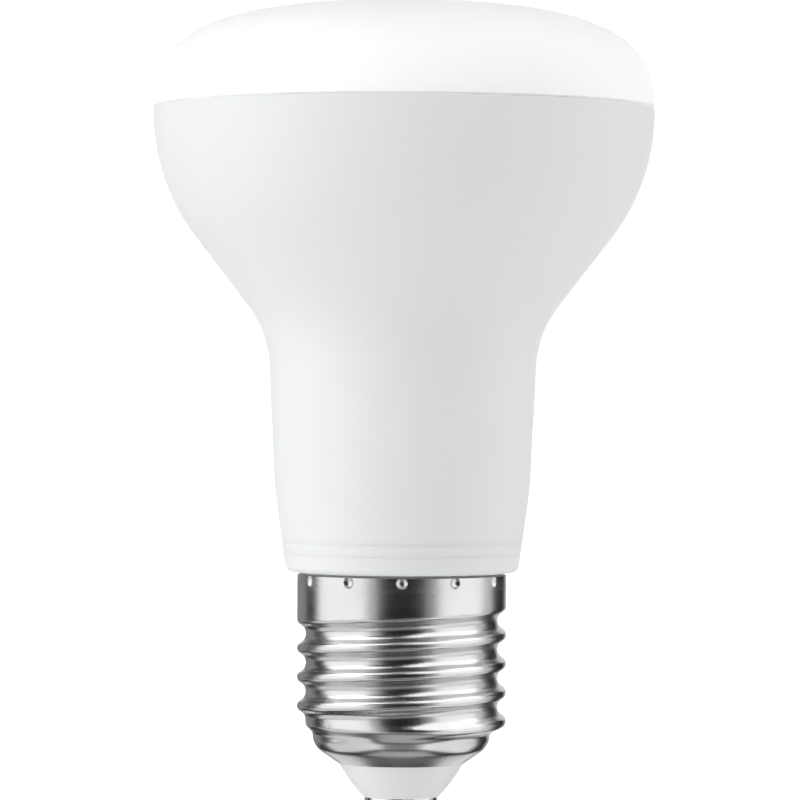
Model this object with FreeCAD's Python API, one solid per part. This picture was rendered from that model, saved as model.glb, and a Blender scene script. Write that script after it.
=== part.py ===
import FreeCAD, Part
import math
import os

# An LED reflector lamp with a screw cap, standing cap down along +Z.
# The origin is the middle of the end contact's face. All sizes are millimetres.

V = FreeCAD.Vector
UP = V(0, 0, 1)
OUT = V(1, 0, 0)
CENTRE = V(0, 0, 0)

# The lamp's sections, one above the other: cap, neck's foot, neck, slope, bowl and lens
cap_height = 30.4
foot_length = 10.5
neck_length = 19.6
slope_length = 18.9
bowl_length = 9.5
lens_length = 13.1
neck_bend_height = cap_height + foot_length
neck_corner_height = neck_bend_height + neck_length
bowl_corner_height = neck_corner_height + slope_length
seam_height = bowl_corner_height + bowl_length
overall_length = seam_height + lens_length

# Lens: a crown and a rounded edge in one curve, and a plug that drops into the housing
head_radius = 31.5
lens_wall = 1.5
crown_handle_share = 0.6794
edge_handle_share = 0.7863
plug_wall = 1.2
plug_depth = 3.0
plug_clearance = 0.15

# Housing: a bowl that narrows into a slightly tapered neck
housing_wall = 1.4
neck_taper = 0.85
foot_taper = 1.45
skirt_shoulder = 1.45
bowl_rounding_share = 0.9316
neck_rounding_share = 0.2128
neck_bend_rounding_share = 0.1994
neck_end_rounding = 0.9
rim_bevel = 0.2
foot_ring_rises = (3.6, 2.1)
foot_ring_depth = 0.03
foot_ring_width = 0.5

# Glue ledge inside the mouth, and the bead that it carries
ledge_width = 1.0
ledge_thickness = 1.2
sealant_height = 0.9

# Ribs in the neck that guide the driver board
guide_below_sink = 2.5
guide_thickness = 1.4
guide_reach = 1.4
guide_clearance = 0.15

# Screw cap: thread form with narrow round crests and wide round roots, rolled in thin sheet
thread_pitch = 3.629
thread_crest_radius = 13.2
thread_depth = 1.1
thread_crest_share = 0.38
sheet = 0.3
first_crest_height = 11.65
ridge_start = -0.4
ridge_fade = 0.4
groove_below_skirt = 2.015
groove_fade = 0.45
skirt_length = 2.4
skirt_gap = 0.35
bowl_start_step = 0.9
bowl_start_height = 9.9
bowl_start_blend = 1.4
end_bowl_rounding = 2.6
end_bowl_slope = 35.0
end_bowl_width = 3.1

# Grid of the rolled sheet's skins
skin_columns = 36
rows_per_pitch = 12
skirt_rows = 4
bowl_rows = 5

# Punch marks that lock the cap on the housing
punch_count = 12
punch_first_angle = -90.0
punch_below_edge = 0.6
punch_radius = 0.95
punch_depth = 0.35
punch_clearance = 0.05

# Spigot of the housing, inside the cap
spigot_clearance = 0.1
spigot_wall = 1.5
spigot_length = 10.4
spigot_end_rounding = 0.4
edge_groove_depth = 0.8

# Insulator and end contact
insulator_end_height = 2.1
insulator_end_radius = 4.75
insulator_bulge = 0.2
insulator_collar = 0.6
insulator_clearance = 0.05
contact_radius = 4.6
contact_rounding = 1.2
rivet_radius = 1.5
rivet_top = 8.2
rivet_bore_depth = 3.2
rivet_clearance = 0.05

# Heat sink: a pressed cup that follows the bowl
sink_clearance = 0.2
sink_sheet = 1.0
sink_below_seam = 7.4
sink_below_neck_corner = 8.0
sink_edge_rounding = 2.0
sink_hole_radius = 5.0
screw_collar_wall = 1.0
screw_collar_depth = 2.0

# LED board, its packages and screws
led_board_radius = 24.0
led_board_thickness = 1.0
outer_led_count = 9
outer_led_ring = 17.0
outer_led_first = 20.0
inner_led_count = 3
inner_led_ring = 9.5
inner_led_first = 60.0
led_length = 3.5
led_width = 2.8
led_height = 0.7
led_frame = 0.35
led_dish = 0.2
screw_count = 3
screw_ring = 20.5
screw_radius = 1.45
screw_length = 4.5
screw_head_radius = 2.6
screw_head_height = 1.7
screw_clearance = 0.2
thread_clearance = 0.05
cross_width = 0.6
cross_length = 2.8
cross_depth = 0.8

# Driver board
board_thickness = 1.2
board_edge_gap = 3.25
board_tab_gap = 1.8
board_below_sink_top = 5.5
board_above_spigot_end = 2.5

# Output pins and the socket that takes them
pin_radius = 0.4
pin_spacing = 3.0
pin_overlap = 6.0
pin_insertion = 3.0
pin_clearance = 0.1
socket_length = 9.0
socket_width = 5.0
socket_height = 4.0
socket_bevel = 0.5
slot_clearance = 0.8

# Parts on the driver board; each share is the height of a part's middle between the neck's floor and the
# board's top
bridge_share = 0.5611
bridge_width = 4.8
bridge_depth = 2.4
bridge_length = 4.2
chip_share = 0.7851
chip_width = 4.9
chip_depth = 1.5
chip_length = 3.9
diode_share = 0.8982
diode_width = 4.3
diode_depth = 2.2
diode_length = 2.6
leg_width = 0.5
leg_thickness = 0.25
leg_reach = 0.9
input_can_radius = 4.0
input_can_length = 11.0
input_can_share = 0.276
output_can_radius = 3.15
output_can_length = 9.5
output_can_share = 0.7172
can_groove = 0.3
can_groove_at = 1.6
can_score_depth = 0.15
can_score_width = 0.5
film_share = 0.2534
film_width = 9.0
film_depth = 7.0
film_length = 4.5
film_rounding = 0.8
choke_share = 0.5475
choke_radius = 4.2
choke_length = 8.0
choke_flange = 1.1
choke_waist = 2.0
winding_radius = 3.7
winding_clearance = 0.1
resistor_count = 3
resistor_share = 0.4661
resistor_width = 3.2
resistor_depth = 0.6
resistor_length = 1.6
resistor_spacing = 4.4
resistor_end = 0.45
fuse_radius = 1.4
fuse_length = 7.0
fuse_rise = 8.5
fuse_offset = -4.0
fuse_lead_radius = 0.3
fuse_lead_reach = 1.6

# Leads to the cap
live_lead_radius = 0.5
lead_start_rise = 4.5
live_lead_side = 3.0
live_lead_turn_below_spigot = 0.5
live_lead_axis_share = 0.425
neutral_lead_radius = 0.3
neutral_lead_side = 5.5
neutral_loop_drop = 2.8
neutral_lead_below_skirt = 3.4
lead_groove_clearance = 0.15
lead_pinch_clearance = 0.05


def at(radius, height):
    """A point in the half-plane that outlines are drawn in."""
    return V(radius, 0, height)


def unit(vector):
    return V(vector).normalize()


def straight(start, end):
    return Part.LineSegment(start, end).toShape()


def rounded_path(points):
    """Edges through (point, rounding) pairs, with an arc tangent to both runs at each rounded point."""
    edges = []
    last = points[0][0]
    for index in range(1, len(points) - 1):
        corner, rounding = points[index]
        back = unit(points[index - 1][0] - corner)
        ahead = unit(points[index + 1][0] - corner)
        if rounding <= 0:
            edges.append(straight(last, corner))
            last = corner
            continue
        half_angle = back.getAngle(ahead) / 2
        reach = rounding / math.tan(half_angle)
        middle = unit(back + ahead) * (rounding / math.sin(half_angle) - rounding)
        start = corner + back * reach
        end = corner + ahead * reach
        edges.append(straight(last, start))
        edges.append(Part.Arc(start, corner + middle, end).toShape())
        last = end
    edges.append(straight(last, points[-1][0]))
    return edges


def closed_path(points):
    """A closed outline through (point, rounding) pairs; the first point stays sharp."""
    return Part.Wire(rounded_path(points + [points[0]]))


def turned(wire):
    """The solid that an outline sweeps round the lamp's axis."""
    return Part.Face(wire).revolve(CENTRE, UP, 360)


def inset_path(points, distance):
    """The same downward outline moved towards the axis, its roundings kept parallel."""
    moved = []
    for index, (point, rounding) in enumerate(points):
        before = unit(point - points[index - 1][0]) if index > 0 else None
        after = unit(points[index + 1][0] - point) if index < len(points) - 1 else None
        first = before or after
        second = after or before
        normal_a = V(first.z, 0, -first.x)
        normal_b = V(second.z, 0, -second.x)
        if before and after:
            shift = (normal_a + normal_b) * (distance / (1 + normal_a.dot(normal_b)))
        else:
            shift = normal_a * distance - first * (distance * normal_a.z / first.z)
        bulges_out = first.z * second.x - first.x * second.z > 0
        grown = rounding - distance if bulges_out else rounding + distance
        moved.append((point + shift, grown if rounding > 0 else 0))
    return moved


def around(shape, angle):
    copy = shape.copy()
    copy.rotate(CENTRE, UP, angle)
    return copy


def ring_of(shape, count, first_angle=0.0):
    return [around(shape, first_angle + 360.0 * k / count) for k in range(count)]


def slab(low, high, radius=None):
    return Part.makeCylinder(radius or 2 * head_radius, high - low, at(0, low), UP)


def block(centre, size):
    """A box given by its centre and its three sides."""
    return Part.makeBox(size.x, size.y, size.z, centre - size * 0.5)


def tube_along(points, radius):
    """A round lead through the points, with bends as large as its runs allow."""
    rounded = [(points[0], 0)]
    for index in range(1, len(points) - 1):
        back = points[index - 1] - points[index]
        ahead = points[index + 1] - points[index]
        shorter = min(back.Length, ahead.Length)
        turn = math.pi - back.getAngle(ahead)
        rounded.append((points[index], 0.45 * shorter / math.tan(turn / 2)))
    rounded.append((points[-1], 0))
    spine = Part.Wire(rounded_path(rounded))
    section = Part.Wire(Part.makeCircle(radius, points[0], points[1] - points[0]))
    return spine.makePipeShell([section], True, False)


# Shared outlines

def rounding_for(share, before, corner, after):
    """The rounding that uses a share of the shorter run beside a corner."""
    back = before - corner
    ahead = after - corner
    return share * min(back.Length, ahead.Length) * math.tan(back.getAngle(ahead) / 2)


def housing_outline():
    """The outer line of the bowl and neck, from the seam down to the cap."""
    points = [
        at(head_radius, seam_height),
        at(head_radius, bowl_corner_height),
        at(neck_radius, neck_corner_height),
        at(neck_bend_radius, neck_bend_height),
        at(neck_end_radius, cap_height),
    ]
    shares = [bowl_rounding_share, neck_rounding_share, neck_bend_rounding_share]
    roundings = [rounding_for(share, *points[k:k + 3]) for k, share in enumerate(shares)]
    return list(zip(points, [0] + roundings + [0]))


def bowl_core(distance, low, high):
    """What lies inside the housing's outer line by a distance, between two heights."""
    line = inset_path(housing_outline(), distance)
    outline = [(at(0, seam_height), 0)] + line + [(at(0, cap_height), 0)]
    return turned(closed_path(outline)).common(slab(low, high))


thread_root_radius = thread_crest_radius - thread_depth
bowl_start_radius = thread_root_radius - bowl_start_step
end_rim_radius = bowl_start_radius - end_bowl_width
neck_end_radius = thread_crest_radius + skirt_shoulder
neck_bend_radius = neck_end_radius + foot_taper
neck_radius = neck_bend_radius + neck_taper
skirt_bottom = cap_height - skirt_length
skirt_top = cap_height - skirt_gap
spigot_end = cap_height - spigot_length
neck_floor = cap_height + housing_wall
insulator_top = bowl_start_height + insulator_collar
skirt_inner_radius = thread_crest_radius - sheet
root_inner_radius = thread_root_radius - sheet
spigot_collar_radius = skirt_inner_radius - spigot_clearance
spigot_tip_radius = root_inner_radius - spigot_clearance
spigot_bore = spigot_tip_radius - spigot_wall
board_half_width = neck_end_radius - board_edge_gap
board_tab_half_width = spigot_bore - board_tab_gap
mouth_radius = head_radius - housing_wall
plug_radius = mouth_radius - plug_clearance
ledge_height = seam_height - plug_depth - sealant_height
sink_top = seam_height - sink_below_seam
sink_bottom = neck_corner_height - sink_below_neck_corner
guide_top = sink_bottom - guide_below_sink
led_board_top = sink_top + led_board_thickness
board_top = sink_top - board_below_sink_top
board_bottom = spigot_end + board_above_spigot_end
lead_start_height = board_bottom + lead_start_rise
pin_bottom = board_top - pin_overlap
pin_y = board_thickness / 2 + pin_radius
board_front = -board_thickness / 2
board_back = board_thickness / 2


# Lens and sealant

def lens_curve(inset, foot):
    """Half of the dome's outline, from the axis down to its foot, as one smooth curve."""
    curve = Part.BezierCurve()
    curve.setPoles([
        at(0, overall_length - inset),
        at(crown_handle_share * head_radius - 2 * inset, overall_length - inset),
        at(head_radius - inset, seam_height + edge_handle_share * lens_length),
        at(head_radius - inset, foot),
    ])
    return curve.toShape()


def diffuser_lens():
    """The dome, with a shelf at its foot that carries the plug."""
    plug_inner = plug_radius - plug_wall
    foot = rounded_path([
        (at(head_radius, seam_height + rim_bevel), 0),
        (at(head_radius - rim_bevel, seam_height), 0),
        (at(plug_radius, seam_height), 0),
        (at(plug_radius, seam_height - plug_depth), plug_wall / 4),
        (at(plug_inner, seam_height - plug_depth), plug_wall / 4),
        (at(plug_inner, seam_height + plug_wall), 0),
        (at(head_radius - lens_wall, seam_height + plug_wall), 0),
    ])
    axis = straight(at(0, overall_length - lens_wall), at(0, overall_length))
    outer = lens_curve(0, seam_height + rim_bevel)
    inner = lens_curve(lens_wall, seam_height + plug_wall)
    return turned(Part.Wire([outer] + foot + [inner, axis]))


def lens_sealant():
    """A bead on the ledge, squeezed flat by the lens plug."""
    bead = bowl_core(housing_wall, ledge_height, ledge_height + sealant_height)
    hole = mouth_radius - ledge_width
    return bead.cut(slab(ledge_height, ledge_height + sealant_height, hole))


# Housing

def housing_body():
    outer = housing_outline()
    inner = inset_path(outer, housing_wall)
    low = inner[-1][0]
    run = inner[-2][0] - low
    floor = low + run * ((neck_floor - low.z) / run.z)
    outer[-1] = (at(neck_end_radius, cap_height), neck_end_rounding)
    outer[0] = (at(head_radius, seam_height - rim_bevel), 0)
    outer.insert(0, (at(head_radius - rim_bevel, seam_height), 0))
    spigot = [
        (at(spigot_collar_radius - edge_groove_depth, cap_height), 0),
        (at(spigot_collar_radius - edge_groove_depth, skirt_top), 0),
        (at(spigot_collar_radius, skirt_top), 0),
        (at(spigot_collar_radius, skirt_bottom), 0),
        (at(spigot_tip_radius, skirt_bottom - spigot_collar_radius + spigot_tip_radius), 0),
        (at(spigot_tip_radius, spigot_end), spigot_end_rounding),
        (at(spigot_bore, spigot_end), 0),
        (at(spigot_bore, neck_floor), 0),
        (floor, 0),
    ]
    upward = [point for point in reversed(inner[:-1])]
    return turned(closed_path(outer + spigot + upward))


def glue_ledge():
    """A ring in the mouth that carries the bead, sloped below so that it leaves its mould."""
    inner = mouth_radius - ledge_width
    embedded = mouth_radius + housing_wall / 2
    return turned(closed_path([
        (at(inner, ledge_height), 0),
        (at(embedded, ledge_height), 0),
        (at(embedded, ledge_height - ledge_thickness - embedded + inner), 0),
        (at(inner, ledge_height - ledge_thickness), 0),
    ]))


def board_guides():
    """Two pairs of ribs, one pair for each edge of the driver board."""
    inner = board_half_width - guide_reach
    gap = board_thickness / 2 + guide_clearance
    size = V(head_radius - inner, guide_thickness, guide_top - neck_floor + housing_wall / 2)
    height = guide_top - size.z / 2
    ribs = []
    for side in (-1, 1):
        for face in (-1, 1):
            centre = V(side * (inner + size.x / 2), face * (gap + guide_thickness / 2), height)
            ribs.append(block(centre, size))
    core = bowl_core(housing_wall / 2, cap_height, guide_top)
    return [rib.common(core) for rib in ribs]


def foot_rings():
    """Two shallow grooves round the neck's foot."""
    taper = foot_taper / foot_length
    grooves = []
    for rise in foot_ring_rises:
        height = cap_height + rise
        radius = neck_end_radius + taper * rise
        grooves.append(turned(closed_path([
            (at(radius - foot_ring_depth, height), 0),
            (at(radius + foot_ring_depth, height - foot_ring_width), 0),
            (at(radius + foot_ring_depth, height + foot_ring_width), 0),
        ])))
    return grooves


def housing():
    mouth = bowl_core(0.0, ledge_height - 3 * ledge_thickness, seam_height)
    body = housing_body().fuse([glue_ledge().common(mouth)] + board_guides())
    body = body.cut(punch_bumps(sheet + punch_clearance, skirt_top))
    return body.cut(foot_rings() + [lead_groove()]).removeSplitter()


def lead_groove():
    """The channel in the spigot where the bare neutral lead lies under the thread."""
    width = 2 * (neutral_lead_radius + lead_groove_clearance)
    floor = neutral_lead_offset() - neutral_lead_radius - lead_groove_clearance
    length = skirt_bottom - neutral_lead_below_skirt + lead_groove_clearance - spigot_end
    size = V(thread_crest_radius - floor, width, length)
    return block(V(-floor - size.x / 2, neutral_lead_y(), spigot_end + length / 2), size)


# Screw cap

def wave(turns):
    """The thread's section: 1 on a crest and 0 in a root, two rounds that meet on the flank."""
    flank = 2 * math.atan(2 * thread_depth / thread_pitch)
    distance = abs(turns - round(turns)) * thread_pitch
    crest_end = thread_crest_share * thread_pitch / 2
    on_crest = distance <= crest_end
    reach = crest_end if on_crest else thread_pitch / 2 - crest_end
    offset = distance if on_crest else thread_pitch / 2 - distance
    rounding = reach / math.sin(flank)
    drop = (rounding - math.sqrt(rounding ** 2 - offset ** 2)) / thread_depth
    return 1 - drop if on_crest else drop


def ease(share):
    share = min(max(share, 0.0), 1.0)
    return share * share * (3 - 2 * share)


def thread_radius(height, turn):
    """The sheet's outer radius in the thread, where turn is the angle round the axis in whole turns."""
    along = (height - first_crest_height) / thread_pitch - turn
    rise = ease((height - bowl_start_height) / bowl_start_blend)
    root = bowl_start_radius + (thread_root_radius - bowl_start_radius) * rise
    if along < 1.5:
        ridge = ease((round(along) + turn - ridge_start) / ridge_fade)
        return root + (thread_crest_radius - root) * wave(along) * ridge
    groove_end = (skirt_bottom - groove_below_skirt - first_crest_height) / thread_pitch - 0.5
    groove = ease((groove_end - math.floor(along) - turn) / groove_fade)
    return thread_crest_radius - thread_depth * (1 - wave(along)) * groove


def end_bowl():
    """Points of the cap's turned-in end: a rounding and then a straight cone to the rim."""
    centre = bowl_start_radius - end_bowl_rounding
    sweep = math.radians(90 - end_bowl_slope)
    points = []
    for row in range(1, bowl_rows + 1):
        angle = sweep * row / bowl_rows
        radius = centre + end_bowl_rounding * math.cos(angle)
        points.append((radius, bowl_start_height - end_bowl_rounding * math.sin(angle)))
    radius, height = points[-1]
    for row in range(1, bowl_rows + 1):
        step = (radius - end_rim_radius) * row / bowl_rows
        points.append((radius - step, height - step * math.tan(math.radians(end_bowl_slope))))
    return points


def sheet_line(turn, inset):
    """The rolled sheet's section at one angle, from the skirt down to the rim."""
    count = round((skirt_bottom - bowl_start_height) / thread_pitch * rows_per_pitch)
    line = []
    for row in range(skirt_rows):
        drop = skirt_length * row / skirt_rows
        line.append((thread_crest_radius, cap_height - drop))
    for row in range(count + 1):
        height = skirt_bottom + (bowl_start_height - skirt_bottom) * row / count
        line.append((thread_radius(height, turn), height))
    line += end_bowl()
    moved = [(line[0][0] - inset, line[0][1])]
    for row in range(1, len(line)):
        below = line[min(row + 1, len(line) - 1)]
        run = math.hypot(below[0] - line[row - 1][0], below[1] - line[row - 1][1])
        normal_r = (line[row - 1][1] - below[1]) / run
        normal_z = (below[0] - line[row - 1][0]) / run
        moved.append((line[row][0] - inset * normal_r, line[row][1] - inset * normal_z))
    return moved


def sheet_skin(inset):
    """One side of the rolled sheet as a smooth surface that closes on itself round the axis.

    Its seam lies over the second column, so the columns start one step back to put it on the X axis.
    """
    widen = 3 / (2 + math.cos(2 * math.pi / skin_columns))
    poles = []
    for column in range(skin_columns):
        turn = (column - 1) % skin_columns / skin_columns
        side = V(math.cos(2 * math.pi * turn), math.sin(2 * math.pi * turn), 0) * widen
        points = [side * radius + UP * height for radius, height in sheet_line(turn, inset)]
        curve = Part.BSplineCurve()
        curve.interpolate(Points=points, Parameters=[float(row) for row in range(len(points))])
        poles.append(curve.getPoles())
    surface = Part.BSplineSurface()
    knots = [float(column) for column in range(skin_columns + 1)]
    surface.buildFromPolesMultsKnots(
        poles, [1] * len(knots), curve.getMultiplicities(), knots, curve.getKnots(), True, False, 3, 3)
    return surface.toShape()


def end_rings(skin):
    rings = [edge for edge in skin.Edges if edge.isClosed()]
    return sorted(rings, key=lambda edge: edge.CenterOfMass.z)


def rolled_sheet():
    """The cap before its punch marks: two skins joined by narrow rings at the rim and the open edge."""
    skins = [sheet_skin(0), sheet_skin(sheet)]
    rings = [Part.makeRuledSurface(*pair) for pair in zip(*map(end_rings, skins))]
    shell = Part.makeShell(skins + rings)
    shell.sewShape(1e-4)
    return Part.Solid(shell)


def punch_balls(growth):
    """The round tips that press the marks into the skirt, grown by what lies between them and a face."""
    centre = at(thread_crest_radius + punch_radius - punch_depth, skirt_top - punch_below_edge)
    ball = Part.makeSphere(punch_radius + growth, centre)
    return ring_of(ball, punch_count, punch_first_angle)


def punch_bumps(growth, top):
    """What the marks push out on the skirt's inside, up to a height."""
    inside = Part.makeCylinder(skirt_inner_radius + sheet / 2, top, CENTRE, UP)
    return [ball.common(inside) for ball in punch_balls(growth)]


def cap_shell():
    """The sheet with its marks, trimmed level at the skirt's open edge."""
    marked = rolled_sheet().fuse(punch_bumps(sheet, cap_height)).cut(punch_balls(0))
    return marked.common(Part.makeCylinder(2 * thread_crest_radius, skirt_top, CENTRE, UP))


# Insulator and contact

def cap_insulator():
    """The cone in the cap's end: its upper part fills the turned-in end and its lower part shows."""
    gap = sheet + insulator_clearance
    slope = math.radians(end_bowl_slope)
    corner_drop = end_bowl_rounding * math.tan((math.pi / 2 - slope) / 2)
    corner = at(bowl_start_radius, bowl_start_height - corner_drop)
    rim_drop = (bowl_start_radius - end_rim_radius) * math.tan(slope)
    rim = at(end_rim_radius, corner.z - rim_drop)
    inside = [(at(bowl_start_radius, insulator_top), 0), (corner, end_bowl_rounding), (rim, 0)]
    wall = inset_path(inside, gap)
    neck = end_rim_radius - insulator_clearance - sheet * math.sin(slope)
    run = wall[1][0] - wall[2][0]
    shoulder = wall[1][0] - run * ((wall[1][0].x - neck) / run.x)
    foot = at(insulator_end_radius, insulator_end_height)
    rim_foot = at(neck, rim.z)
    chord = foot - rim_foot
    side = Part.BezierCurve()
    outwards = unit(V(-chord.z, 0, chord.x))
    side.setPoles([rim_foot, rim_foot + chord * 0.5 + outwards * (2 * insulator_bulge), foot])
    top = wall[0]
    bore = rivet_radius + rivet_clearance
    upper = rounded_path([top, wall[1], (shoulder, 0), (rim_foot, 0)])
    lower = rounded_path([
        (foot, 0), (at(bore, insulator_end_height), 0), (at(bore, insulator_top), 0), top])
    return turned(Part.Wire(upper + [side.toShape()] + lower))


def centre_contact():
    """A rivet: a head with a flat face under the insulator, and a bored shank that takes the live lead."""
    bore = live_lead_radius + rivet_clearance
    return turned(closed_path([
        (CENTRE, 0),
        (at(contact_radius, 0), contact_rounding),
        (at(contact_radius, insulator_end_height), 0),
        (at(rivet_radius, insulator_end_height), 0),
        (at(rivet_radius, rivet_top), 0),
        (at(bore, rivet_top), 0),
        (at(bore, rivet_top - rivet_bore_depth), 0),
        (at(0, rivet_top - rivet_bore_depth), 0),
    ]))


# Heat sink and LED board

def heat_sink():
    outer_gap = housing_wall + sink_clearance
    cup = bowl_core(outer_gap, sink_bottom, sink_top)
    rim = max(cup.Edges, key=lambda edge: edge.CenterOfMass.z + edge.Length / 1000)
    cup = cup.makeFillet(sink_edge_rounding, [rim])
    inside = bowl_core(outer_gap + sink_sheet, sink_bottom, sink_top - sink_sheet)
    rim = max(inside.Edges, key=lambda edge: edge.CenterOfMass.z + edge.Length / 1000)
    inside = inside.makeFillet(sink_edge_rounding - sink_sheet / 2, [rim])
    cup = cup.cut(inside)
    hole = screw_radius + thread_clearance
    depth = sink_sheet + screw_collar_depth
    base = V(screw_ring, 0, sink_top - depth)
    collars = Part.makeCylinder(hole + screw_collar_wall, depth - sink_sheet / 2, base, UP)
    holes = Part.makeCylinder(hole, depth, base, UP)
    cup = cup.fuse(ring_of(collars, screw_count))
    pins = Part.makeCylinder(sink_hole_radius, sink_top, CENTRE, UP)
    return cup.cut(ring_of(holes, screw_count) + [pins]).removeSplitter()


def pin_slot(low, high):
    width = 2 * (pin_radius + slot_clearance / 2)
    size = V(pin_spacing + 2 * pin_radius + 2 * slot_clearance, width, high - low)
    return block(V(0, pin_y, (low + high) / 2), size)


def led_board():
    board = slab(sink_top, led_board_top, led_board_radius)
    hole = Part.makeCylinder(screw_radius + screw_clearance, led_board_top, V(screw_ring, 0, 0), UP)
    return board.cut(ring_of(hole, screw_count) + [pin_slot(sink_top, led_board_top)])


def led_package():
    """A moulded frame with a shallow dish."""
    body = block(V(0, 0, led_height / 2), V(led_width, led_length, led_height))
    opening = V(led_width - 2 * led_frame, led_length - 2 * led_frame, led_dish)
    return body.cut(block(V(0, 0, led_height - led_dish / 2), opening))


def led_packages():
    package = led_package()
    solids = []
    for count, radius, first in (
        (outer_led_count, outer_led_ring, outer_led_first),
        (inner_led_count, inner_led_ring, inner_led_first),
    ):
        package.Placement.Base = V(radius, 0, led_board_top)
        solids += ring_of(package, count, first)
    return Part.Compound(solids)


def board_screw():
    tip = V(screw_ring, 0, led_board_top - screw_length)
    shank = Part.makeCylinder(screw_radius, screw_length, tip, UP)
    head = Part.makeCylinder(screw_head_radius, screw_head_height, V(screw_ring, 0, led_board_top), UP)
    top = max(head.Edges, key=lambda edge: edge.CenterOfMass.z)
    head = head.makeFillet(screw_head_height / 2, [top])
    middle = V(screw_ring, 0, led_board_top + screw_head_height - cross_depth / 2)
    cross = block(middle, V(cross_length, cross_width, cross_depth))
    other = block(middle, V(cross_width, cross_length, cross_depth))
    return shank.fuse(head).cut([cross, other]).removeSplitter()


def board_screws():
    return Part.Compound(ring_of(board_screw(), screw_count))


def output_pin_places():
    return [V(side * pin_spacing / 2, pin_y, 0) for side in (-1, 1)]


def output_pins():
    top = led_board_top + pin_insertion
    return Part.Compound([
        Part.makeCylinder(pin_radius, top - pin_bottom, place + UP * pin_bottom, UP)
        for place in output_pin_places()
    ])


def board_socket():
    size = V(socket_length, socket_width, socket_height)
    body = block(V(0, pin_y, led_board_top + socket_height / 2), size)
    top = max(body.Faces, key=lambda face: face.CenterOfMass.z)
    body = body.makeChamfer(socket_bevel, top.Edges)
    holes = [
        Part.makeCylinder(pin_radius + pin_clearance, pin_insertion + pin_clearance,
                          place + UP * led_board_top, UP)
        for place in output_pin_places()
    ]
    return body.cut(holes)


# Driver board and what it carries

def driver_board():
    """A stepped board: its narrow tab hangs in the spigot and its shoulders rest on the neck's floor."""
    tab = block(V(0, 0, (board_bottom + neck_floor) / 2),
                V(2 * board_tab_half_width, board_thickness, neck_floor - board_bottom))
    wide = block(V(0, 0, (neck_floor + board_top) / 2),
                 V(2 * board_half_width, board_thickness, board_top - neck_floor))
    return tab.fuse(wide).removeSplitter()


def on_board(share):
    """The height at a share of the way from the neck's floor to the driver board's top."""
    return neck_floor + share * (board_top - neck_floor)


def legged_body(height, body, face, legs_a_side):
    """A moulded chip on a face of the board (face is -1 in front, 1 behind), with legs down two sides."""
    lift = leg_thickness
    surface = face * board_thickness / 2
    centre = V(0, surface + face * (lift + body.y / 2), height)
    parts = []
    spacing = body.z / legs_a_side if legs_a_side > 1 else 0
    for side in (-1, 1):
        for leg in range(legs_a_side):
            along = height + (leg - (legs_a_side - 1) / 2) * spacing
            reach = leg_reach + body.x / 8
            x = side * (body.x / 2 + leg_reach - reach / 2)
            parts.append(block(V(x, surface + face * lift / 2, along), V(reach, lift, leg_width)))
    solid = block(centre, body)
    outer = [edge for edge in solid.Edges
             if abs(edge.CenterOfMass.y - (centre.y + face * body.y / 2)) < 1e-6]
    return solid.makeChamfer(body.y / 8, outer).fuse(parts).removeSplitter()


def bridge_rectifier():
    body = V(bridge_width, bridge_depth, bridge_length)
    return legged_body(on_board(bridge_share), body, -1, 2)


def controller_chip():
    body = V(chip_width, chip_depth, chip_length)
    return legged_body(on_board(chip_share), body, 1, 4)


def freewheel_diode():
    body = V(diode_width, diode_depth, diode_length)
    return legged_body(on_board(diode_share), body, -1, 1)


def capacitor_can(radius, length, height):
    """A can that stands on the front of the board, with a rolled groove near its foot and a scored end."""
    groove_low = can_groove_at
    outline = turned(closed_path([
        (CENTRE, 0),
        (at(radius, 0), can_groove),
        (at(radius, groove_low), 0),
        (at(radius - can_groove, groove_low + can_groove), 0),
        (at(radius, groove_low + 2 * can_groove), 0),
        (at(radius, length), 2 * can_groove),
        (at(0, length), 0),
    ]))
    score = V(1.3 * radius, can_score_width, can_score_depth)
    middle = at(0, length - can_score_depth / 2)
    can = outline.cut([block(middle, score), block(middle, V(score.y, score.x, score.z))])
    can.rotate(CENTRE, OUT, 90)
    can.translate(V(0, board_front, height))
    return can


def input_capacitor():
    return capacitor_can(input_can_radius, input_can_length, on_board(input_can_share))


def output_capacitor():
    return capacitor_can(output_can_radius, output_can_length, on_board(output_can_share))


def film_capacitor():
    centre = V(0, board_back + film_depth / 2, on_board(film_share))
    body = block(centre, V(film_width, film_depth, film_length))
    uprights = [edge for edge in body.Edges
                if abs(edge.tangentAt(edge.FirstParameter).y) > 0.99]
    return body.makeFillet(film_rounding, uprights)


def choke_core():
    """A ferrite drum that stands on the back of the board."""
    drum = turned(closed_path([
        (CENTRE, 0),
        (at(choke_radius, 0), 0),
        (at(choke_radius, choke_flange), 0),
        (at(choke_waist, choke_flange), 0),
        (at(choke_waist, choke_length - choke_flange), 0),
        (at(choke_radius, choke_length - choke_flange), 0),
        (at(choke_radius, choke_length), 0),
        (at(0, choke_length), 0),
    ]))
    return on_back(drum, on_board(choke_share))


def choke_winding():
    low = choke_flange + winding_clearance
    high = choke_length - choke_flange - winding_clearance
    coil = Part.makeCylinder(winding_radius, high - low, at(0, low), UP)
    coil = coil.cut(Part.makeCylinder(choke_waist, high - low, at(0, low), UP))
    return on_back(coil, on_board(choke_share))


def on_back(shape, height):
    shape.rotate(CENTRE, OUT, -90)
    shape.translate(V(0, board_back, height))
    return shape


def sense_resistor():
    body = block(CENTRE, V(resistor_width, resistor_depth, resistor_length))
    step = V(resistor_width - 2 * resistor_end, resistor_depth / 6, resistor_length)
    return body.cut(block(V(0, -resistor_depth / 2 + step.y / 2, 0), step))


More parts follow.
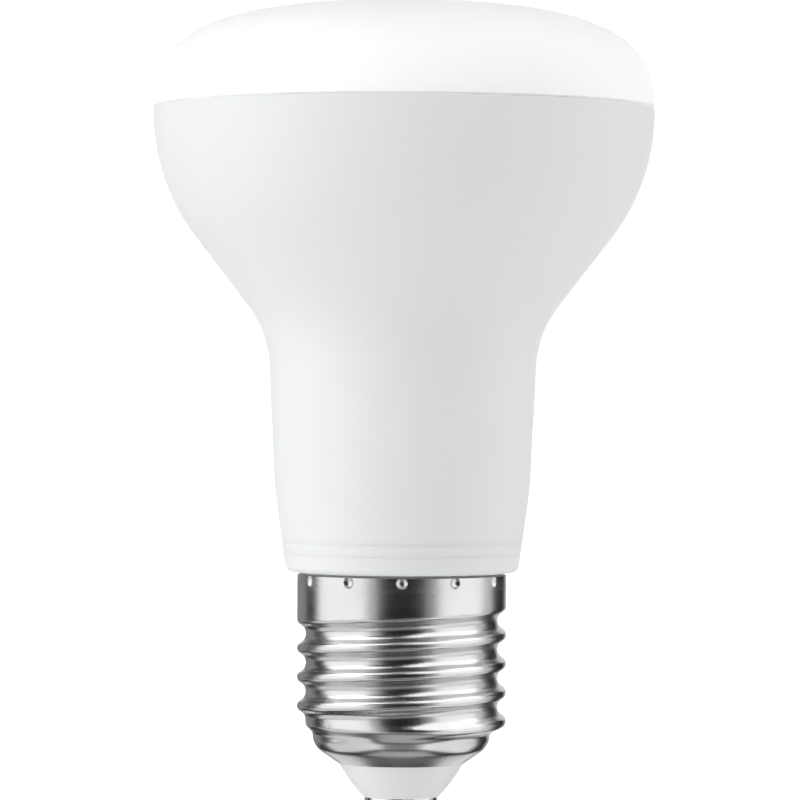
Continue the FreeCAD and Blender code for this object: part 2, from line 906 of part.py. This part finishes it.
def sense_resistors():
    solids = []
    for index in range(resistor_count):
        chip = sense_resistor()
        x = (index - (resistor_count - 1) / 2) * resistor_spacing
        chip.translate(V(x, board_front - resistor_depth / 2, on_board(resistor_share)))
        solids.append(chip)
    return Part.Compound(solids)


def fusible_resistor():
    """A round body along the board, whose two end leads bend into the board."""
    y = board_front - fuse_radius - fuse_lead_radius
    fuse_height = board_bottom + fuse_rise
    half = fuse_length / 2
    body = Part.makeCylinder(fuse_radius, fuse_length, V(fuse_offset, y, fuse_height - half), UP)
    body = body.makeFillet(fuse_radius / 3, [edge for edge in body.Edges if edge.isClosed()])
    tip = half + fuse_lead_reach
    lead = tube_along([
        V(fuse_offset, board_front, fuse_height - tip),
        V(fuse_offset, y, fuse_height - tip),
        V(fuse_offset, y, fuse_height - half + fuse_radius / 2),
    ], fuse_lead_radius)
    other = lead.mirror(V(0, 0, fuse_height), UP)
    return body.fuse([lead, other]).removeSplitter()


# Leads

def live_lead():
    y = board_back + live_lead_radius
    turn = spigot_end - live_lead_turn_below_spigot
    return tube_along([
        V(live_lead_side, y, lead_start_height),
        V(live_lead_side, y, turn),
        V(0, 0, rivet_top + (turn - rivet_top) * live_lead_axis_share),
        at(0, rivet_top - rivet_bore_depth + rivet_clearance),
    ], live_lead_radius)


def neutral_lead_offset():
    return root_inner_radius - neutral_lead_radius - lead_pinch_clearance


def neutral_lead_y():
    return board_back + neutral_lead_radius


def neutral_lead():
    y = neutral_lead_y()
    loop = spigot_end - neutral_loop_drop
    return tube_along([
        V(-neutral_lead_side, y, lead_start_height),
        V(-neutral_lead_side, y, loop),
        V(-neutral_lead_offset(), y, loop),
        V(-neutral_lead_offset(), y, skirt_bottom - neutral_lead_below_skirt),
    ], neutral_lead_radius)


def build():
    os.makedirs("parts", exist_ok=True)
    makers = [
        diffuser_lens, lens_sealant, housing, heat_sink, led_board, led_packages, board_screws,
        board_socket, output_pins, driver_board, bridge_rectifier, controller_chip,
        freewheel_diode, input_capacitor, output_capacitor, film_capacitor, choke_core,
        choke_winding, sense_resistors, fusible_resistor, live_lead, neutral_lead, cap_shell,
        cap_insulator, centre_contact,
    ]
    for maker in makers:
        maker().exportStep("parts/" + maker.__name__ + ".step")


build()
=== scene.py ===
import math

import bpy
from mathutils import Euler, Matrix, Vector


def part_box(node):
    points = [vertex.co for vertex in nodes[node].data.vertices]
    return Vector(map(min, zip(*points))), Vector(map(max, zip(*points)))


# Looks of an LED reflector lamp with a screw cap. Everything is in metres, in the frame of the CAD part.

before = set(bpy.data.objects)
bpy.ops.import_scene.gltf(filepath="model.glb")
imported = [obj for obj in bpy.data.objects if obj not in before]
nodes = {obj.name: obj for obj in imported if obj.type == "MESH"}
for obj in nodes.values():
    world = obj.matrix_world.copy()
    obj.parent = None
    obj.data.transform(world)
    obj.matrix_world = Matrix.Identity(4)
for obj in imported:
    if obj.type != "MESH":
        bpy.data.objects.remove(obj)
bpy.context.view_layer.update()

MM = 0.001

# Camera, from the photograph: its scale at the lamp's axis, its horizon row and where the axis shows
PICTURE_SIDE = 800
PIXELS_PER_MM = 7.94
CAMERA_DISTANCE = 600 * MM
CONTACT_ROW = 813
HORIZON_ROW = 370
AXIS_COLUMN = 402.8
CAMERA_ROLL = math.radians(0.28)
SENSOR_WIDTH = 36.0

# Soft lights round the lamp, each with its azimuth, elevation, width and height in degrees and its radiance.
# Azimuth 0 is the camera's side and 90 the right.
LAMP_MIDDLE = Vector((0, 0, 55 * MM))
BOX_DISTANCE = 0.9

# These light the matt surfaces, most of all from the left, from above and from behind on the right
MATT_BOXES = {
    "left_inner": (-52, 0, 24, 40, 1.75),
    "left": (-75, 0, 24, 40, 1.10),
    "left_outer": (-95, 0, 24, 40, 0.65),
    "left_rear": (-120, 0, 34, 40, 0.74),
    "back_left": (-150, 0, 34, 40, 0.69),
    "back": (175, 0, 34, 40, 0.37),
    "back_right": (140, 0, 34, 40, 0.67),
    "right_rear": (112, 0, 24, 40, 2.25),
    "right": (85, 0, 24, 40, 0.45),
    "right_inner": (60, 0, 24, 40, 0.40),
    "right_front": (35, 0, 24, 40, 0.24),
    "high_left": (-45, 45, 42, 34, 1.80),
    "high_front": (0, 45, 42, 34, 0.18),
    "high_right": (45, 45, 42, 34, 0.70),
    "high_right_rear": (100, 45, 76, 34, 0.40),
    "high_back": (180, 45, 42, 34, 0.15),
    "low_front_left": (-20, -40, 38, 30, 0.64),
    "low_front_right": (20, -40, 38, 30, 0.19),
    "low_left": (-80, -40, 76, 30, 1.04),
    "low_right": (100, -40, 38, 30, 1.59),
    "low_back": (180, -40, 38, 30, 0.77),
    "above": (0, 90, 40, 40, 0.10),
    "below": (0, -88, 40, 40, 0.79),
}

# These are for reflections only, with hardly anything in front, which leaves the metal a dark band
GLOSS_BOXES = {
    "left": (-72, 2, 66, 48, 1.40),
    "left_inner": (-33, 2, 14, 48, 0.60),
    "left_high": (-80, 50, 54, 50, 2.40),
    "right": (70, 2, 60, 48, 1.35),
    "right_inner": (33, 2, 14, 48, 0.35),
    "right_outer": (109, 2, 18, 48, 0.70),
    "right_high": (66, 50, 76, 50, 1.60),
    "back_right_high": (120, 45, 42, 34, 0.65),
    "back": (175, 0, 40, 40, 0.90),
    "back_left": (-145, 0, 34, 40, 0.30),
    "back_high": (180, 45, 42, 34, 0.50),
    "low_left": (-80, -42, 76, 34, 0.95),
    "low_right": (80, -42, 76, 34, 1.10),
    "low_back": (180, -40, 38, 30, 1.10),
    "low_front": (0, -42, 70, 30, 0.28),
    "below": (0, -88, 40, 40, 0.55),
}

# Light from the whole room, and the stage that the camera sees
WHITE = (1, 1, 1, 1)
ROOM_STRENGTH = 0.54
STAGE_RADIUS = 5.0
FLOOR_SIDES = 96
DOME_SEGMENTS = 64
DOME_RINGS = 32
FLOOR_COLOUR = (0.80, 0.80, 0.80)
FLOOR_ROUGHNESS = 0.9
FLOOR_GLOW_NEAR = 0.80
FLOOR_GLOW_FAR = 1.05
FLOOR_NEAR = 0.1
FLOOR_FAR = 0.6
BACKDROP_GLOW = 1.05

# Noise: the span that its values mostly keep to, the detail of soft clouds, and where each use starts, so
# that colour, gloss and bumps don't run together
NOISE_LOW = 0.3
NOISE_HIGH = 0.7
CLOUD_DETAIL = 3.0
SHEEN_SHIFT = 3.0
RELIEF_SHIFT = 7.0

# The wave texture's repeat, in metres, at a scale of 1
WAVE_REPEAT = 2 * math.pi / 20

# Stretches of the noise: none, into lines along the lamp, and into lines round it
FINE = (1, 1, 1)
ALONG_Z = (1, 1, 40)
ROUND_Z = (40, 40, 1)

# The same scattering for red, green and blue
EVEN = (1, 1, 1)

# A simpler finish has clouds and a change of gloss this many times as wide as its grain
CLOUD_WIDTH = 8
GLOSS_WIDTH = 5
GLOSS_WANDER = 0.2

PACKAGE_WHITE = (0.88, 0.88, 0.86)
PACKAGE_RIM = 0.1


class Finish:
    """A material around one Principled shader, with short ways to add procedural detail to it."""

    def __init__(self, name, colour, roughness, metallic=0.0, **sockets):
        self.material = bpy.data.materials.new(name)
        self.material.use_nodes = True
        self.tree = self.material.node_tree
        self.shader = self.tree.nodes["Principled BSDF"]
        self.place = self.tree.nodes.new("ShaderNodeTexCoord").outputs["Object"]
        self.shader.inputs["Base Color"].default_value = (*colour, 1)
        self.shader.inputs["Roughness"].default_value = roughness
        self.shader.inputs["Metallic"].default_value = metallic
        for socket, value in sockets.items():
            self.shader.inputs[socket.replace("_", " ")].default_value = value

    def node(self, kind, **settings):
        made = self.tree.nodes.new(kind)
        for name, value in settings.items():
            setattr(made, name, value)
        return made

    def link(self, output, socket):
        self.tree.links.new(output, socket)

    def noise(self, size, stretch=FINE, detail=2.0, shift=0.0):
        """Noise with features of a size in millimetres, stretched along the axes."""
        mapping = self.node("ShaderNodeMapping")
        self.link(self.place, mapping.inputs["Vector"])
        mapping.inputs["Location"].default_value = (shift, shift, shift)
        mapping.inputs["Scale"].default_value = [1 / (size * MM * s) for s in stretch]
        texture = self.node("ShaderNodeTexNoise")
        self.link(mapping.outputs["Vector"], texture.inputs["Vector"])
        texture.inputs["Scale"].default_value = 1.0
        texture.inputs["Detail"].default_value = detail
        return texture.outputs["Fac"]

    def remap(self, value, low, high, start=NOISE_LOW, end=NOISE_HIGH):
        """A value's span from start to end, carried over to low to high."""
        remap = self.node("ShaderNodeMapRange")
        self.link(value, remap.inputs["Value"])
        for socket, number in (("From Min", start), ("From Max", end), ("To Min", low), ("To Max", high)):
            remap.inputs[socket].default_value = number
        return remap.outputs["Result"]

    def mix(self, factor, first, second):
        """Two colours, or sockets that carry one, mixed by a factor."""
        mix = self.node("ShaderNodeMix", data_type="RGBA")
        self.link(factor, mix.inputs["Factor"])
        for socket, colour in (("A", first), ("B", second)):
            slot = next(i for i in mix.inputs if i.name == socket and i.type == "RGBA")
            if isinstance(colour, bpy.types.NodeSocket):
                self.link(colour, slot)
            else:
                slot.default_value = (*colour, 1)
        return next(o for o in mix.outputs if o.type == "RGBA")

    def colour(self, output):
        """Takes the base colour from a socket."""
        self.link(output, self.shader.inputs["Base Color"])
        return self

    def tint(self, amount, size, stretch=FINE, shift=0.0):
        """Cloudy variation of the base colour, darker and lighter by an amount."""
        base = self.shader.inputs["Base Color"].default_value
        dark = [c * (1 - amount) for c in base[:3]]
        light = [min(1.0, c * (1 + amount)) for c in base[:3]]
        clouds = self.noise(size, stretch, CLOUD_DETAIL, shift)
        return self.colour(self.mix(self.remap(clouds, 0, 1), dark, light))

    def sheen(self, amount, size, stretch=FINE, shift=SHEEN_SHIFT):
        """Roughness that wanders round its value by an amount."""
        socket = self.shader.inputs["Roughness"]
        middle = socket.default_value
        clouds = self.noise(size, stretch, CLOUD_DETAIL, shift)
        self.link(self.remap(clouds, middle - amount, middle + amount), socket)
        return self

    def relief(self, height, size, stretch=FINE, detail=2.0, shift=RELIEF_SHIFT):
        """Bump from noise, with a height and a feature size in millimetres; calls add up."""
        return self.emboss(self.noise(size, stretch, detail, shift), height)

    def emboss(self, value, height):
        """Bump from any value, with a height in millimetres, on top of what is there."""
        bump = self.node("ShaderNodeBump")
        bump.inputs["Distance"].default_value = height * MM
        bump.inputs["Strength"].default_value = 1.0
        self.link(value, bump.inputs["Height"])
        before = self.shader.inputs["Normal"]
        if before.is_linked:
            self.link(before.links[0].from_socket, bump.inputs["Normal"])
        self.link(bump.outputs["Normal"], self.shader.inputs["Normal"])
        return self

    def wave(self, size, axis):
        """Even ridges across an axis, with a spacing in millimetres."""
        texture = self.node("ShaderNodeTexWave", bands_direction=axis)
        self.link(self.place, texture.inputs["Vector"])
        texture.inputs["Scale"].default_value = WAVE_REPEAT / (size * MM)
        texture.inputs["Distortion"].default_value = 0.0
        return texture.outputs["Fac"]

    def height_above(self, level):
        """1 where the surface is above a height in millimetres, else 0."""
        split = self.node("ShaderNodeSeparateXYZ")
        self.link(self.place, split.inputs["Vector"])
        compare = self.node("ShaderNodeMath", operation="GREATER_THAN")
        self.link(split.outputs["Z"], compare.inputs[0])
        compare.inputs[1].default_value = level * MM
        return compare.outputs["Value"]


def opal_lens(name):
    """Opal polycarbonate: light spreads in it, and its skin has a very fine grain."""
    finish = Finish(name, (0.95, 0.955, 0.955), 0.55, Specular_IOR_Level=0.3, Subsurface_Weight=0.3,
                    Subsurface_Scale=1.5 * MM, Subsurface_Radius=EVEN)
    finish.tint(0.006, 14).sheen(0.03, 9)
    return finish.relief(0.004, 0.22).relief(0.02, 7, detail=1)


def moulded_white(name):
    """Satin white moulding with a fine skin and the faint waves that shrinkage leaves."""
    finish = Finish(name, (0.72, 0.734, 0.734), 0.48, Specular_IOR_Level=0.25, Subsurface_Weight=0.08,
                    Subsurface_Scale=1.0 * MM, Subsurface_Radius=EVEN)
    finish.tint(0.006, 16).sheen(0.04, 6)
    return finish.relief(0.004, 0.3).relief(0.02, 9, detail=1)


def nickel_sheet(name):
    """Nickel-plated sheet with fine marks from drawing, along the cap, and rolling, round it."""
    finish = Finish(name, (0.62, 0.624, 0.624), 0.26, metallic=1.0)
    finish.tint(0.03, 4).sheen(0.04, 2.5, ROUND_Z)
    return finish.relief(0.0010, 0.12, ALONG_Z).relief(0.0008, 0.15, ROUND_Z).relief(0.003, 2.0)


def insulator_white(name):
    """Smoother white plastic, a little greyer than the housing's."""
    finish = Finish(name, (0.70, 0.714, 0.714), 0.38, Subsurface_Weight=0.1, Subsurface_Scale=1.0 * MM,
                    Subsurface_Radius=EVEN)
    return finish.tint(0.004, 3).sheen(0.03, 1.5).relief(0.002, 0.2)


def plated_contact(name):
    """Tinned plate, with small dents and the marks of handling."""
    finish = Finish(name, (0.76, 0.74, 0.69), 0.26, metallic=1.0)
    return finish.tint(0.06, 1.2).sheen(0.07, 0.8).relief(0.002, 0.1).relief(0.006, 1.5)


def pressed_aluminium(name):
    """Drawn aluminium sheet, with lines along the draw."""
    finish = Finish(name, (0.78, 0.785, 0.79), 0.42, metallic=1.0)
    return finish.tint(0.04, 5).sheen(0.06, 1.2, ALONG_Z).relief(0.004, 0.2, ALONG_Z)


def board_white(name):
    """White solder mask, with copper tracks that stand out a little under it."""
    finish = Finish(name, (0.86, 0.86, 0.84), 0.38)
    tracks = finish.remap(finish.noise(3.2, (1, 1, 9), 0.0), 0, 1, 0.47, 0.53)
    return finish.tint(0.02, 6).emboss(tracks, 0.03).relief(0.003, 0.15)


def phosphor_package(name):
    """White package frame with a yellow filling in its dish."""
    finish = Finish(name, PACKAGE_WHITE, 0.35)
    filling = finish.mix(finish.remap(finish.noise(0.25), 0, 1), (0.80, 0.60, 0.10), (0.90, 0.72, 0.18))
    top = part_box("led_packages")[1].z / MM
    rim = finish.height_above(top - PACKAGE_RIM)
    return finish.colour(finish.mix(rim, filling, PACKAGE_WHITE)).relief(0.002, 0.1)


def laminate(name):
    """Glass laminate under a green mask, with its weave just showing."""
    finish = Finish(name, (0.05, 0.22, 0.10), 0.35)
    finish.tint(0.18, 5)
    return finish.emboss(finish.wave(0.5, "X"), 0.004).emboss(finish.wave(0.5, "Z"), 0.004)


def wound_copper(name):
    """Enamelled wire, turn beside turn."""
    finish = Finish(name, (0.55, 0.20, 0.07), 0.28, metallic=1.0, Coat_Weight=0.5, Coat_Roughness=0.15)
    return finish.tint(0.12, 1.0).emboss(finish.wave(0.3, "Y"), 0.06)


def plain(colour, roughness, metallic=0.0, tint=0.06, grain=0.005, size=0.3, stretch=FINE, **sockets):
    """A maker for the simpler finishes: a base, its clouding, a wandering gloss and a grain."""
    def make(name):
        finish = Finish(name, colour, roughness, metallic, **sockets)
        finish.tint(tint, CLOUD_WIDTH * size).sheen(GLOSS_WANDER * roughness, GLOSS_WIDTH * size)
        return finish.relief(grain, size, stretch)
    return make


FINISHES = {
    "diffuser_lens": opal_lens,
    "lens_sealant": plain((0.78, 0.78, 0.75), 0.30, tint=0.04, grain=0.03, size=0.8, Subsurface_Weight=0.2,
                          Subsurface_Scale=1.0 * MM),
    "housing": moulded_white,
    "cap_shell": nickel_sheet,
    "cap_insulator": insulator_white,
    "centre_contact": plated_contact,
    "heat_sink": pressed_aluminium,
    "led_board": board_white,
    "led_packages": phosphor_package,
    "board_screws": plain((0.62, 0.63, 0.65), 0.32, 1.0, grain=0.004, size=0.2, stretch=(6, 6, 1)),
    "board_socket": plain((0.80, 0.78, 0.70), 0.45),
    "driver_board": laminate,
    "output_pins": plain((0.72, 0.56, 0.26), 0.25, 1.0, grain=0.003, size=0.15, stretch=ALONG_Z),
    "bridge_rectifier": plain((0.025, 0.025, 0.027), 0.55, grain=0.012, size=0.15),
    "controller_chip": plain((0.03, 0.03, 0.032), 0.50, grain=0.010, size=0.12),
    "freewheel_diode": plain((0.028, 0.028, 0.03), 0.55, grain=0.012, size=0.15),
    "input_capacitor": plain((0.05, 0.06, 0.09), 0.30, grain=0.01, size=0.5),
    "output_capacitor": plain((0.05, 0.06, 0.09), 0.30, grain=0.01, size=0.4),
    "film_capacitor": plain((0.55, 0.06, 0.03), 0.28, grain=0.02, size=0.6, Coat_Weight=0.3),
    "choke_core": plain((0.06, 0.06, 0.065), 0.60, grain=0.015, size=0.2),
    "choke_winding": wound_copper,
    "sense_resistors": plain((0.04, 0.04, 0.045), 0.35, grain=0.004, size=0.2),
    "fusible_resistor": plain((0.16, 0.30, 0.24), 0.40, grain=0.015, size=0.4),
    "live_lead": plain((0.60, 0.03, 0.02), 0.38, grain=0.01, size=0.5),
    "neutral_lead": plain((0.70, 0.70, 0.68), 0.30, 1.0, grain=0.004, size=0.2),
}


def dress():
    """Gives every node its own finish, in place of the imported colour."""
    for name, make in FINISHES.items():
        mesh = nodes[name].data
        mesh.materials.clear()
        mesh.materials.append(make(name + "_finish").material)


def direction(azimuth, elevation):
    """From the lamp towards a place in the studio; azimuth 0 is the camera's side, 90 the right."""
    a, e = math.radians(azimuth), math.radians(elevation)
    return Vector((math.sin(a) * math.cos(e), -math.cos(a) * math.cos(e), math.sin(e)))


def softbox(name, azimuth, elevation, wide, high, radiance):
    """A soft light that faces the lamp, and that the camera doesn't see."""
    width = 2 * BOX_DISTANCE * math.tan(math.radians(wide / 2))
    height = 2 * BOX_DISTANCE * math.tan(math.radians(high / 2))
    data = bpy.data.lights.new(name, "AREA")
    data.shape = "RECTANGLE"
    data.size, data.size_y = width, height
    data.energy = radiance * math.pi * width * height
    box = bpy.data.objects.new(name, data)
    towards = direction(azimuth, elevation)
    box.location = LAMP_MIDDLE + towards * BOX_DISTANCE
    box.rotation_euler = towards.to_track_quat("Z", "Y").to_euler()
    box.visible_camera = False
    bpy.context.scene.collection.objects.link(box)
    return box


def softboxes(use, boxes):
    """A set of lights, named after their use and place."""
    return [softbox(f"{use}_{name}", *facts) for name, facts in boxes.items()]


def on_stage(thing, material):
    """A stage object that the camera sees and that gives the lamp neither light nor reflections."""
    thing.data.materials.append(material)
    thing.visible_diffuse = False
    thing.visible_glossy = False
    thing.visible_transmission = False
    thing.visible_shadow = False


def pale_floor():
    """A pale floor, lit a little from inside like a light table, and more so further out."""
    finish = Finish("pale_floor", FLOOR_COLOUR, FLOOR_ROUGHNESS)
    distance = finish.node("ShaderNodeVectorMath", operation="LENGTH")
    finish.link(finish.place, distance.inputs[0])
    glow = finish.remap(distance.outputs["Value"], FLOOR_GLOW_NEAR, FLOOR_GLOW_FAR, FLOOR_NEAR, FLOOR_FAR)
    finish.shader.inputs["Emission Color"].default_value = WHITE
    finish.link(glow, finish.shader.inputs["Emission Strength"])
    bpy.ops.mesh.primitive_circle_add(vertices=FLOOR_SIDES, radius=STAGE_RADIUS, fill_type="NGON")
    bpy.context.object.name = "studio_floor"
    on_stage(bpy.context.object, finish.material)


def backdrop():
    """A white dome round the studio."""
    finish = Finish("backdrop", (0, 0, 0), 1.0)
    finish.shader.inputs["Emission Color"].default_value = WHITE
    finish.shader.inputs["Emission Strength"].default_value = BACKDROP_GLOW
    bpy.ops.mesh.primitive_uv_sphere_add(segments=DOME_SEGMENTS, ring_count=DOME_RINGS, radius=STAGE_RADIUS)
    bpy.context.object.name = "studio_backdrop"
    on_stage(bpy.context.object, finish.material)


def studio():
    """The room's light, both sets of soft lights, the floor and the backdrop."""
    world = bpy.data.worlds.new("studio")
    bpy.context.scene.world = world
    world.use_nodes = True
    background = world.node_tree.nodes["Background"]
    background.inputs["Color"].default_value = WHITE
    background.inputs["Strength"].default_value = ROOM_STRENGTH
    world.cycles_visibility.glossy = False
    for box in softboxes("matt", MATT_BOXES):
        box.visible_glossy = False
        box.data.cycles.use_multiple_importance_sampling = False
    for box in softboxes("gloss", GLOSS_BOXES):
        box.visible_diffuse = False
    pale_floor()
    backdrop()


def camera():
    """A long lens at the photograph's distance, tilt and roll."""
    focal = PIXELS_PER_MM / MM * CAMERA_DISTANCE
    middle = PICTURE_SIDE / 2
    data = bpy.data.cameras.new("photo_camera")
    data.sensor_width = SENSOR_WIDTH
    data.lens = focal * SENSOR_WIDTH / PICTURE_SIDE
    seen = bpy.data.objects.new("photo_camera", data)
    height = (CONTACT_ROW - HORIZON_ROW) / PIXELS_PER_MM * MM
    seen.location = (0, -CAMERA_DISTANCE, height)
    tilt = math.atan((middle - HORIZON_ROW) / focal)
    turn = math.atan((AXIS_COLUMN - middle) / focal)
    aim = Euler((math.pi / 2 - tilt, 0, turn), "XYZ").to_quaternion()
    roll = Euler((0, 0, CAMERA_ROLL), "XYZ").to_quaternion()
    seen.rotation_mode = "QUATERNION"
    seen.rotation_quaternion = aim @ roll
    bpy.context.scene.collection.objects.link(seen)
    bpy.context.scene.camera = seen


camera()
dress()
studio()
bpy.context.scene.view_settings.view_transform = "Standard"
